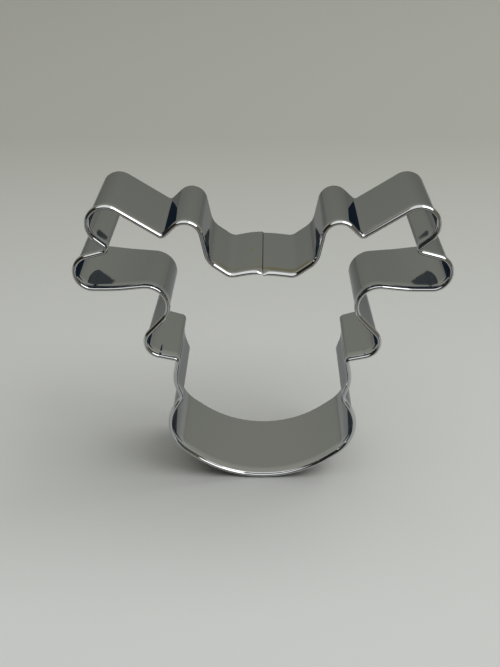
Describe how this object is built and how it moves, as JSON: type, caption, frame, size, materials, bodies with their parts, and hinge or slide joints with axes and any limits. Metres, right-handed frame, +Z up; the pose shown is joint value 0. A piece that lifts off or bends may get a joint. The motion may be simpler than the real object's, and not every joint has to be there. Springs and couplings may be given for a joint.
{
  "type": "cookie cutter",
  "caption": "Stainless strip cookie cutter bent into an antlered deer's head, with a curled safety rim and a spot-welded lap at the crown.",
  "frame": {"origin": "on the table under the middle of the part: under the chin, half-way through the depth", "axes": "+X to the right of the face, +Y from the curled rim towards the cutting edge, +Z up from the chin to the antlers"},
  "size_m": [0.086, 0.024, 0.0738],
  "materials": {
    "strip_steel": "bright rolled stainless strip",
    "rim_steel": "bright rolled stainless, polished by curling",
    "weld_metal": "dull heat-tinted spot weld"
  },
  "bodies": {
    "root": {"crown_wall_left": "strip_steel", "crown_wall_right": "strip_steel", "antler_wall_left": "strip_steel", "antler_wall_right": "strip_steel", "cheek_wall_left": "strip_steel", "cheek_wall_right": "strip_steel", "muzzle_wall": "strip_steel", "crown_rim_left": "rim_steel", "crown_rim_right": "rim_steel", "antler_rim_left": "rim_steel", "antler_rim_right": "rim_steel", "cheek_rim_left": "rim_steel", "cheek_rim_right": "rim_steel", "muzzle_rim": "rim_steel", "spot_weld_front": "weld_metal", "spot_weld_back": "weld_metal"}
  },
  "joints": []
}
